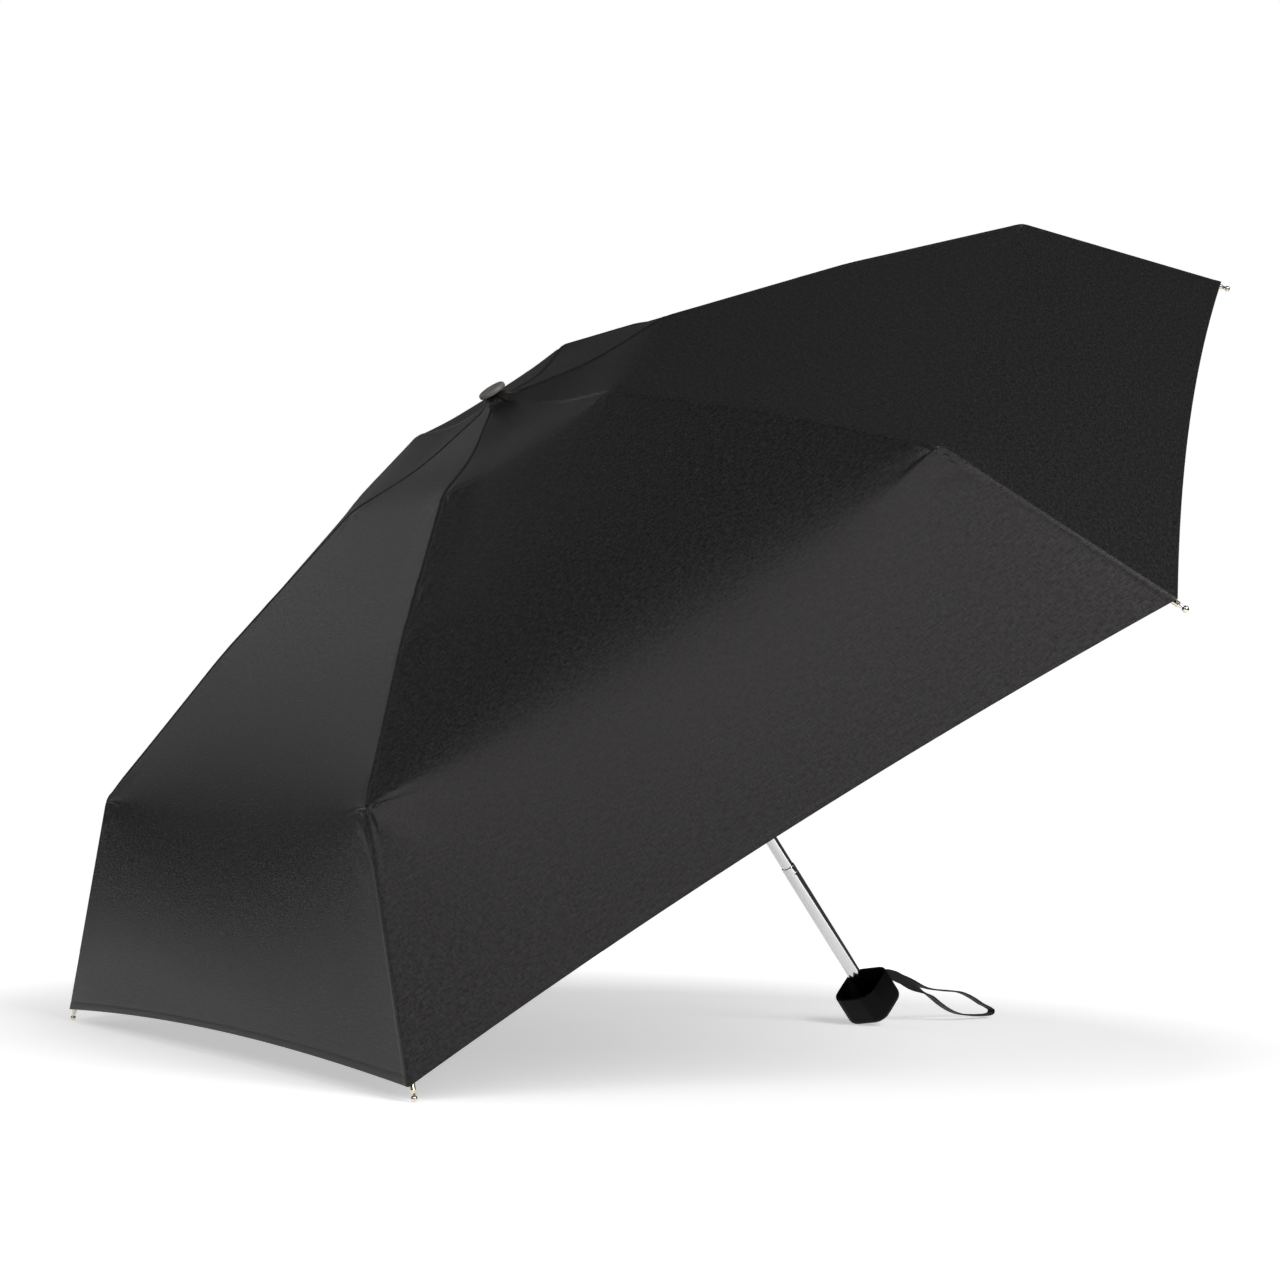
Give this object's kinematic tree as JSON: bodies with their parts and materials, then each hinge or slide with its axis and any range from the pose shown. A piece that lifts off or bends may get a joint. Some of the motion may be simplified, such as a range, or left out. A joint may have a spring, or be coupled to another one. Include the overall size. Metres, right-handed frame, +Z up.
{
  "type": "folding umbrella",
  "caption": "Compact folding umbrella, lying open: telescopic shaft, sliding runner, folding ribs under a pongee canopy, cup handle with a wrist strap.",
  "frame": {"origin": "centre of the footprint on the ground, without the wrist strap", "axes": "+Z up from the ground it lies on; the shaft leans in the XZ plane, +X from the two grounded rib tips towards the handle; +Y across the canopy"},
  "size_m": [0.6118, 0.8898, 0.521],
  "materials": {
    "canopy_cloth": "matte",
    "strap_webbing": "matte",
    "chrome_tube": "polished",
    "steel_wire": "satin",
    "black_steel": "satin",
    "rib_aluminium": "satin",
    "tip_resin": "satin",
    "handle_black": "matte",
    "inner_plastic": "satin",
    "cap_grey": "satin"
  },
  "bodies": {
    "handle": {"handle_cup": "handle_black", "handle_plug": "inner_plastic", "shaft_tube_1": "chrome_tube", "strap_anchor": "inner_plastic", "wrist_strap": "strap_webbing"},
    "tube_2": {"shaft_tube_2": "chrome_tube"},
    "tube_3": {"shaft_tube_3": "chrome_tube"},
    "top": {"shaft_tube_4": "chrome_tube", "crown": "inner_plastic", "crown_wire": "steel_wire", "top_cap": "cap_grey", "canopy_panel_1": "canopy_cloth", "canopy_panel_2": "canopy_cloth", "canopy_panel_3": "canopy_cloth", "canopy_panel_4": "canopy_cloth", "canopy_panel_5": "canopy_cloth", "canopy_panel_6": "canopy_cloth"},
    "runner_catch": {"runner_catch": "steel_wire"},
    "runner": {"runner": "inner_plastic", "runner_wire": "steel_wire"},
    "stretcher_1": {"stretcher_1": "black_steel"},
    "stretcher_2": {"stretcher_2": "black_steel"},
    "stretcher_3": {"stretcher_3": "black_steel"},
    "stretcher_4": {"stretcher_4": "black_steel"},
    "stretcher_5": {"stretcher_5": "black_steel"},
    "stretcher_6": {"stretcher_6": "black_steel"},
    "tip_rib_1": {"tip_rib_1": "tip_resin"},
    "fourth_rib_1": {"fourth_rib_1": "rib_aluminium"},
    "middle_rib_1": {"middle_rib_1": "rib_aluminium"},
    "second_rib_1": {"second_rib_1": "black_steel"},
    "top_rib_1": {"top_rib_1": "black_steel"},
    "tip_rib_2": {"tip_rib_2": "tip_resin"},
    "fourth_rib_2": {"fourth_rib_2": "rib_aluminium"},
    "middle_rib_2": {"middle_rib_2": "rib_aluminium"},
    "second_rib_2": {"second_rib_2": "black_steel"},
    "top_rib_2": {"top_rib_2": "black_steel"},
    "tip_rib_3": {"tip_rib_3": "tip_resin"},
    "fourth_rib_3": {"fourth_rib_3": "rib_aluminium"},
    "middle_rib_3": {"middle_rib_3": "rib_aluminium"},
    "second_rib_3": {"second_rib_3": "black_steel"},
    "top_rib_3": {"top_rib_3": "black_steel"},
    "tip_rib_4": {"tip_rib_4": "tip_resin"},
    "fourth_rib_4": {"fourth_rib_4": "rib_aluminium"},
    "middle_rib_4": {"middle_rib_4": "rib_aluminium"},
    "second_rib_4": {"second_rib_4": "black_steel"},
    "top_rib_4": {"top_rib_4": "black_steel"},
    "tip_rib_5": {"tip_rib_5": "tip_resin"},
    "fourth_rib_5": {"fourth_rib_5": "rib_aluminium"},
    "middle_rib_5": {"middle_rib_5": "rib_aluminium"},
    "second_rib_5": {"second_rib_5": "black_steel"},
    "top_rib_5": {"top_rib_5": "black_steel"},
    "tip_rib_6": {"tip_rib_6": "tip_resin"},
    "fourth_rib_6": {"fourth_rib_6": "rib_aluminium"},
    "middle_rib_6": {"middle_rib_6": "rib_aluminium"},
    "second_rib_6": {"second_rib_6": "black_steel"},
    "top_rib_6": {"top_rib_6": "black_steel"}
  },
  "joints": [
    {"name": "tube_2_slide", "type": "slide", "parent": "handle", "child": "tube_2", "axis": [0.6385, 0, -0.7696], "range_m": [0, 0.11]},
    {"name": "tube_3_slide", "type": "slide", "parent": "tube_2", "child": "tube_3", "axis": [0.6385, 0, -0.7696], "range_m": [0, 0.11]},
    {"name": "tube_4_slide", "type": "slide", "parent": "tube_3", "child": "top", "axis": [0.6385, 0, -0.7696], "range_m": [0, 0.11]},
    {"name": "runner_slide", "type": "slide", "parent": "top", "child": "runner", "axis": [0.6385, 0, -0.7696], "range_m": [0, 0.08172], "deforming": ["canopy_panel_1", "canopy_panel_2", "canopy_panel_3", "canopy_panel_4", "canopy_panel_5", "canopy_panel_6", "runner_catch"]},
    {"name": "runner_catch_press", "type": "slide", "parent": "top", "child": "runner_catch", "axis": [0.7696, 0, 0.6385], "range_m": [0, 0.0022], "stiffness_N_per_m": 400, "springref_m": -0.0005},
    {"name": "top_rib_1_hinge", "type": "hinge", "parent": "top", "child": "top_rib_1", "pos_m": [-0.12516, -0.0045, 0.38647], "axis": [-0.3848, 0.866, -0.3193], "range_deg": [-81, 0]},
    {"name": "second_rib_1_hinge", "type": "hinge", "parent": "top_rib_1", "child": "second_rib_1", "pos_m": [-0.15607, -0.03212, 0.34881], "axis": [-0.3848, 0.866, -0.3193], "range_deg": [0, 170.3]},
    {"name": "middle_rib_1_hinge", "type": "hinge", "parent": "second_rib_1", "child": "middle_rib_1", "pos_m": [-0.18855, -0.05702, 0.32038], "axis": [-0.3848, 0.866, -0.3193], "range_deg": [-163.8, 0]},
    {"name": "fourth_rib_1_hinge", "type": "hinge", "parent": "middle_rib_1", "child": "fourth_rib_1", "pos_m": [-0.24626, -0.11552, 0.23127], "axis": [-0.3848, 0.866, -0.3193], "range_deg": [0, 183.9]},
    {"name": "tip_rib_1_hinge", "type": "hinge", "parent": "fourth_rib_1", "child": "tip_rib_1", "pos_m": [-0.29347, -0.17031, 0.13954], "axis": [-0.3848, 0.866, -0.3193], "range_deg": [-155.1, 0]},
    {"name": "stretcher_1_hinge", "type": "hinge", "parent": "runner", "child": "stretcher_1", "pos_m": [-0.10072, -0.0045, 0.357], "axis": [-0.3848, 0.866, -0.3193], "range_deg": [0, 56.74]},
    {"name": "top_rib_2_hinge", "type": "hinge", "parent": "top", "child": "top_rib_2", "pos_m": [-0.11916, -0.009, 0.39144], "axis": [-0.7696, 0, -0.6385], "range_deg": [-81, 0]},
    {"name": "second_rib_2_hinge", "type": "hinge", "parent": "top_rib_2", "child": "second_rib_2", "pos_m": [-0.11326, -0.06423, 0.38433], "axis": [-0.7696, 0, -0.6385], "range_deg": [0, 170.3]},
    {"name": "middle_rib_2_hinge", "type": "hinge", "parent": "second_rib_2", "child": "middle_rib_2", "pos_m": [-0.11253, -0.11405, 0.38345], "axis": [-0.7696, 0, -0.6385], "range_deg": [-163.8, 0]},
    {"name": "fourth_rib_2_hinge", "type": "hinge", "parent": "middle_rib_2", "child": "fourth_rib_2", "pos_m": [-0.09228, -0.23104, 0.35903], "axis": [-0.7696, 0, -0.6385], "range_deg": [0, 183.9]},
    {"name": "tip_rib_2_hinge", "type": "hinge", "parent": "fourth_rib_2", "child": "tip_rib_2", "pos_m": [-0.06645, -0.34062, 0.32791], "axis": [-0.7696, 0, -0.6385], "range_deg": [-155.1, 0]},
    {"name": "stretcher_2_hinge", "type": "hinge", "parent": "runner", "child": "stretcher_2", "pos_m": [-0.09472, -0.009, 0.36198], "axis": [-0.7696, 0, -0.6385], "range_deg": [0, 56.74]},
    {"name": "top_rib_3_hinge", "type": "hinge", "parent": "top", "child": "top_rib_3", "pos_m": [-0.11317, -0.0045, 0.39642], "axis": [-0.3848, -0.866, -0.3193], "range_deg": [-81, 0]},
    {"name": "second_rib_3_hinge", "type": "hinge", "parent": "top_rib_3", "child": "second_rib_3", "pos_m": [-0.07045, -0.03212, 0.41985], "axis": [-0.3848, -0.866, -0.3193], "range_deg": [0, 170.3]},
    {"name": "middle_rib_3_hinge", "type": "hinge", "parent": "second_rib_3", "child": "middle_rib_3", "pos_m": [-0.03652, -0.05702, 0.44652], "axis": [-0.3848, -0.866, -0.3193], "range_deg": [-163.8, 0]},
    {"name": "fourth_rib_3_hinge", "type": "hinge", "parent": "middle_rib_3", "child": "fourth_rib_3", "pos_m": [0.06171, -0.11552, 0.4868], "axis": [-0.3848, -0.866, -0.3193], "range_deg": [0, 183.9]},
    {"name": "tip_rib_3_hinge", "type": "hinge", "parent": "fourth_rib_3", "child": "tip_rib_3", "pos_m": [0.16057, -0.17031, 0.51627], "axis": [-0.3848, -0.866, -0.3193], "range_deg": [-155.1, 0]},
    {"name": "stretcher_3_hinge", "type": "hinge", "parent": "runner", "child": "stretcher_3", "pos_m": [-0.08872, -0.0045, 0.36696], "axis": [-0.3848, -0.866, -0.3193], "range_deg": [0, 56.74]},
    {"name": "top_rib_4_hinge", "type": "hinge", "parent": "top", "child": "top_rib_4", "pos_m": [-0.11317, 0.0045, 0.39642], "axis": [0.3848, -0.866, 0.3193], "range_deg": [-81, 0]},
    {"name": "second_rib_4_hinge", "type": "hinge", "parent": "top_rib_4", "child": "second_rib_4", "pos_m": [-0.07045, 0.03212, 0.41985], "axis": [0.3848, -0.866, 0.3193], "range_deg": [0, 170.3]},
    {"name": "middle_rib_4_hinge", "type": "hinge", "parent": "second_rib_4", "child": "middle_rib_4", "pos_m": [-0.03652, 0.05702, 0.44652], "axis": [0.3848, -0.866, 0.3193], "range_deg": [-163.8, 0]},
    {"name": "fourth_rib_4_hinge", "type": "hinge", "parent": "middle_rib_4", "child": "fourth_rib_4", "pos_m": [0.06171, 0.11552, 0.4868], "axis": [0.3848, -0.866, 0.3193], "range_deg": [0, 183.9]},
    {"name": "tip_rib_4_hinge", "type": "hinge", "parent": "fourth_rib_4", "child": "tip_rib_4", "pos_m": [0.16057, 0.17031, 0.51627], "axis": [0.3848, -0.866, 0.3193], "range_deg": [-155.1, 0]},
    {"name": "stretcher_4_hinge", "type": "hinge", "parent": "runner", "child": "stretcher_4", "pos_m": [-0.08872, 0.0045, 0.36696], "axis": [0.3848, -0.866, 0.3193], "range_deg": [0, 56.74]},
    {"name": "top_rib_5_hinge", "type": "hinge", "parent": "top", "child": "top_rib_5", "pos_m": [-0.11916, 0.009, 0.39144], "axis": [0.7696, 0, 0.6385], "range_deg": [-81, 0]},
    {"name": "second_rib_5_hinge", "type": "hinge", "parent": "top_rib_5", "child": "second_rib_5", "pos_m": [-0.11326, 0.06423, 0.38433], "axis": [0.7696, 0, 0.6385], "range_deg": [0, 170.3]},
    {"name": "middle_rib_5_hinge", "type": "hinge", "parent": "second_rib_5", "child": "middle_rib_5", "pos_m": [-0.11253, 0.11405, 0.38345], "axis": [0.7696, 0, 0.6385], "range_deg": [-163.8, 0]},
    {"name": "fourth_rib_5_hinge", "type": "hinge", "parent": "middle_rib_5", "child": "fourth_rib_5", "pos_m": [-0.09228, 0.23104, 0.35903], "axis": [0.7696, 0, 0.6385], "range_deg": [0, 183.9]},
    {"name": "tip_rib_5_hinge", "type": "hinge", "parent": "fourth_rib_5", "child": "tip_rib_5", "pos_m": [-0.06645, 0.34062, 0.32791], "axis": [0.7696, 0, 0.6385], "range_deg": [-155.1, 0]},
    {"name": "stretcher_5_hinge", "type": "hinge", "parent": "runner", "child": "stretcher_5", "pos_m": [-0.09472, 0.009, 0.36198], "axis": [0.7696, 0, 0.6385], "range_deg": [0, 56.74]},
    {"name": "top_rib_6_hinge", "type": "hinge", "parent": "top", "child": "top_rib_6", "pos_m": [-0.12516, 0.0045, 0.38647], "axis": [0.3848, 0.866, 0.3193], "range_deg": [-81, 0]},
    {"name": "second_rib_6_hinge", "type": "hinge", "parent": "top_rib_6", "child": "second_rib_6", "pos_m": [-0.15607, 0.03212, 0.34881], "axis": [0.3848, 0.866, 0.3193], "range_deg": [0, 170.3]},
    {"name": "middle_rib_6_hinge", "type": "hinge", "parent": "second_rib_6", "child": "middle_rib_6", "pos_m": [-0.18855, 0.05702, 0.32038], "axis": [0.3848, 0.866, 0.3193], "range_deg": [-163.8, 0]},
    {"name": "fourth_rib_6_hinge", "type": "hinge", "parent": "middle_rib_6", "child": "fourth_rib_6", "pos_m": [-0.24626, 0.11552, 0.23127], "axis": [0.3848, 0.866, 0.3193], "range_deg": [0, 183.9]},
    {"name": "tip_rib_6_hinge", "type": "hinge", "parent": "fourth_rib_6", "child": "tip_rib_6", "pos_m": [-0.29347, 0.17031, 0.13954], "axis": [0.3848, 0.866, 0.3193], "range_deg": [-155.1, 0]},
    {"name": "stretcher_6_hinge", "type": "hinge", "parent": "runner", "child": "stretcher_6", "pos_m": [-0.10072, 0.0045, 0.357], "axis": [0.3848, 0.866, 0.3193], "range_deg": [0, 56.74]}
  ],
  "couplings": [
    {"joint": "top_rib_1_hinge", "follows": "runner_slide", "rad_per_m": -17.194},
    {"joint": "second_rib_1_hinge", "follows": "runner_slide", "rad_per_m": 36.267},
    {"joint": "middle_rib_1_hinge", "follows": "runner_slide", "rad_per_m": -34.878},
    {"joint": "fourth_rib_1_hinge", "follows": "runner_slide", "rad_per_m": 39.171},
    {"joint": "tip_rib_1_hinge", "follows": "runner_slide", "rad_per_m": -33.02},
    {"joint": "stretcher_1_hinge", "follows": "runner_slide", "rad_per_m": 12.013},
    {"joint": "top_rib_2_hinge", "follows": "runner_slide", "rad_per_m": -17.194},
    {"joint": "second_rib_2_hinge", "follows": "runner_slide", "rad_per_m": 36.267},
    {"joint": "middle_rib_2_hinge", "follows": "runner_slide", "rad_per_m": -34.878},
    {"joint": "fourth_rib_2_hinge", "follows": "runner_slide", "rad_per_m": 39.171},
    {"joint": "tip_rib_2_hinge", "follows": "runner_slide", "rad_per_m": -33.02},
    {"joint": "stretcher_2_hinge", "follows": "runner_slide", "rad_per_m": 12.013},
    {"joint": "top_rib_3_hinge", "follows": "runner_slide", "rad_per_m": -17.194},
    {"joint": "second_rib_3_hinge", "follows": "runner_slide", "rad_per_m": 36.267},
    {"joint": "middle_rib_3_hinge", "follows": "runner_slide", "rad_per_m": -34.878},
    {"joint": "fourth_rib_3_hinge", "follows": "runner_slide", "rad_per_m": 39.171},
    {"joint": "tip_rib_3_hinge", "follows": "runner_slide", "rad_per_m": -33.02},
    {"joint": "stretcher_3_hinge", "follows": "runner_slide", "rad_per_m": 12.013},
    {"joint": "top_rib_4_hinge", "follows": "runner_slide", "rad_per_m": -17.194},
    {"joint": "second_rib_4_hinge", "follows": "runner_slide", "rad_per_m": 36.267},
    {"joint": "middle_rib_4_hinge", "follows": "runner_slide", "rad_per_m": -34.878},
    {"joint": "fourth_rib_4_hinge", "follows": "runner_slide", "rad_per_m": 39.171},
    {"joint": "tip_rib_4_hinge", "follows": "runner_slide", "rad_per_m": -33.02},
    {"joint": "stretcher_4_hinge", "follows": "runner_slide", "rad_per_m": 12.013},
    {"joint": "top_rib_5_hinge", "follows": "runner_slide", "rad_per_m": -17.194},
    {"joint": "second_rib_5_hinge", "follows": "runner_slide", "rad_per_m": 36.267},
    {"joint": "middle_rib_5_hinge", "follows": "runner_slide", "rad_per_m": -34.878},
    {"joint": "fourth_rib_5_hinge", "follows": "runner_slide", "rad_per_m": 39.171},
    {"joint": "tip_rib_5_hinge", "follows": "runner_slide", "rad_per_m": -33.02},
    {"joint": "stretcher_5_hinge", "follows": "runner_slide", "rad_per_m": 12.013},
    {"joint": "top_rib_6_hinge", "follows": "runner_slide", "rad_per_m": -17.194},
    {"joint": "second_rib_6_hinge", "follows": "runner_slide", "rad_per_m": 36.267},
    {"joint": "middle_rib_6_hinge", "follows": "runner_slide", "rad_per_m": -34.878},
    {"joint": "fourth_rib_6_hinge", "follows": "runner_slide", "rad_per_m": 39.171},
    {"joint": "tip_rib_6_hinge", "follows": "runner_slide", "rad_per_m": -33.02},
    {"joint": "stretcher_6_hinge", "follows": "runner_slide", "rad_per_m": 12.013}
  ]
}
